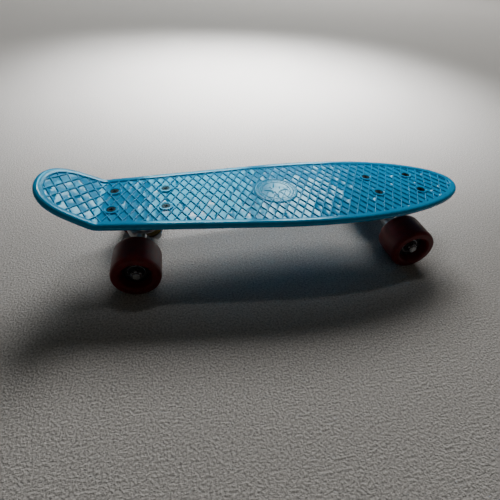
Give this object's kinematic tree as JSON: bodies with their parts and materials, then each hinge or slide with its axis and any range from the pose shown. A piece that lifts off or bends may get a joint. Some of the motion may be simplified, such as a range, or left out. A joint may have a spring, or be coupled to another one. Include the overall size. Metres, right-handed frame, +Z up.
{
  "type": "cruiser skateboard",
  "caption": "Small moulded plastic cruiser skateboard with an upturned kick tail, two sprung steering trucks and soft urethane wheels on ball bearings.",
  "frame": {"origin": "on the ground under the middle of the whole board's length and width", "axes": "+X towards the nose, +Y to the left side, +Z up"},
  "size_m": [0.5536, 0.158, 0.1249],
  "materials": {
    "deck_plastic": "glossy moulded cyan-blue plastic",
    "cast_aluminium": "satin cast and tumbled aluminium",
    "zinc_steel": "bright zinc plated steel",
    "black_steel": "black oxide steel, worn to bright metal at the edges",
    "amber_urethane": "translucent olive-amber urethane",
    "pivot_cup_plastic": "black moulded plastic",
    "red_urethane": "translucent dark red cast urethane",
    "core_plastic": "black glass-filled nylon",
    "bearing_steel": "ground bearing steel"
  },
  "bodies": {
    "deck": {"deck": "deck_plastic", "front_baseplate": "cast_aluminium", "front_pivot_cup": "pivot_cup_plastic", "front_kingpin": "zinc_steel", "front_kingpin_nut": "zinc_steel", "front_washer_top": "zinc_steel", "front_washer_bottom": "zinc_steel", "front_bushing_top": "amber_urethane", "front_bushing_bottom": "amber_urethane", "front_screw_outer_left": "black_steel", "front_lock_nut_outer_left": "zinc_steel", "front_screw_outer_right": "black_steel", "front_lock_nut_outer_right": "zinc_steel", "front_screw_inner_left": "black_steel", "front_lock_nut_inner_left": "zinc_steel", "front_screw_inner_right": "black_steel", "front_lock_nut_inner_right": "zinc_steel", "rear_baseplate": "cast_aluminium", "rear_pivot_cup": "pivot_cup_plastic", "rear_kingpin": "zinc_steel", "rear_kingpin_nut": "zinc_steel", "rear_washer_top": "zinc_steel", "rear_washer_bottom": "zinc_steel", "rear_bushing_top": "amber_urethane", "rear_bushing_bottom": "amber_urethane", "rear_screw_outer_left": "black_steel", "rear_lock_nut_outer_left": "zinc_steel", "rear_screw_outer_right": "black_steel", "rear_lock_nut_outer_right": "zinc_steel", "rear_screw_inner_left": "black_steel", "rear_lock_nut_inner_left": "zinc_steel", "rear_screw_inner_right": "black_steel", "rear_lock_nut_inner_right": "zinc_steel"},
    "front_hanger_body": {"front_hanger": "cast_aluminium", "front_axle": "zinc_steel", "front_left_axle_nut": "zinc_steel", "front_right_axle_nut": "zinc_steel"},
    "rear_hanger_body": {"rear_hanger": "cast_aluminium", "rear_axle": "zinc_steel", "rear_left_axle_nut": "zinc_steel", "rear_right_axle_nut": "zinc_steel"},
    "front_left_wheel": {"front_left_tyre": "red_urethane", "front_left_core": "core_plastic", "front_left_bearing_inner": "bearing_steel", "front_left_bearing_outer": "bearing_steel"},
    "front_right_wheel": {"front_right_tyre": "red_urethane", "front_right_core": "core_plastic", "front_right_bearing_inner": "bearing_steel", "front_right_bearing_outer": "bearing_steel"},
    "rear_left_wheel": {"rear_left_tyre": "red_urethane", "rear_left_core": "core_plastic", "rear_left_bearing_inner": "bearing_steel", "rear_left_bearing_outer": "bearing_steel"},
    "rear_right_wheel": {"rear_right_tyre": "red_urethane", "rear_right_core": "core_plastic", "rear_right_bearing_inner": "bearing_steel", "rear_right_bearing_outer": "bearing_steel"}
  },
  "joints": [
    {"name": "front_truck_steer", "type": "hinge", "parent": "deck", "child": "front_hanger_body", "pos_m": [0.1733, 0, 0.0505], "axis": [0.8204, 0, 0.5718], "range_deg": [-15, 15], "stiffness_Nm_per_rad": 30, "deforming": ["front_bushing_top", "front_bushing_bottom"]},
    {"name": "rear_truck_steer", "type": "hinge", "parent": "deck", "child": "rear_hanger_body", "pos_m": [-0.1597, 0, 0.0505], "axis": [-0.8204, 0, 0.5718], "range_deg": [-15, 15], "stiffness_Nm_per_rad": 30, "deforming": ["rear_bushing_top", "rear_bushing_bottom"]},
    {"name": "front_left_wheel_spin", "type": "hinge", "parent": "front_hanger_body", "child": "front_left_wheel", "pos_m": [0.1903, 0.0565, 0.03], "axis": [0, 1, 0], "continuous": true},
    {"name": "front_right_wheel_spin", "type": "hinge", "parent": "front_hanger_body", "child": "front_right_wheel", "pos_m": [0.1903, -0.0565, 0.03], "axis": [0, 1, 0], "continuous": true},
    {"name": "rear_left_wheel_spin", "type": "hinge", "parent": "rear_hanger_body", "child": "rear_left_wheel", "pos_m": [-0.1767, 0.0565, 0.03], "axis": [0, 1, 0], "continuous": true},
    {"name": "rear_right_wheel_spin", "type": "hinge", "parent": "rear_hanger_body", "child": "rear_right_wheel", "pos_m": [-0.1767, -0.0565, 0.03], "axis": [0, 1, 0], "continuous": true}
  ]
}
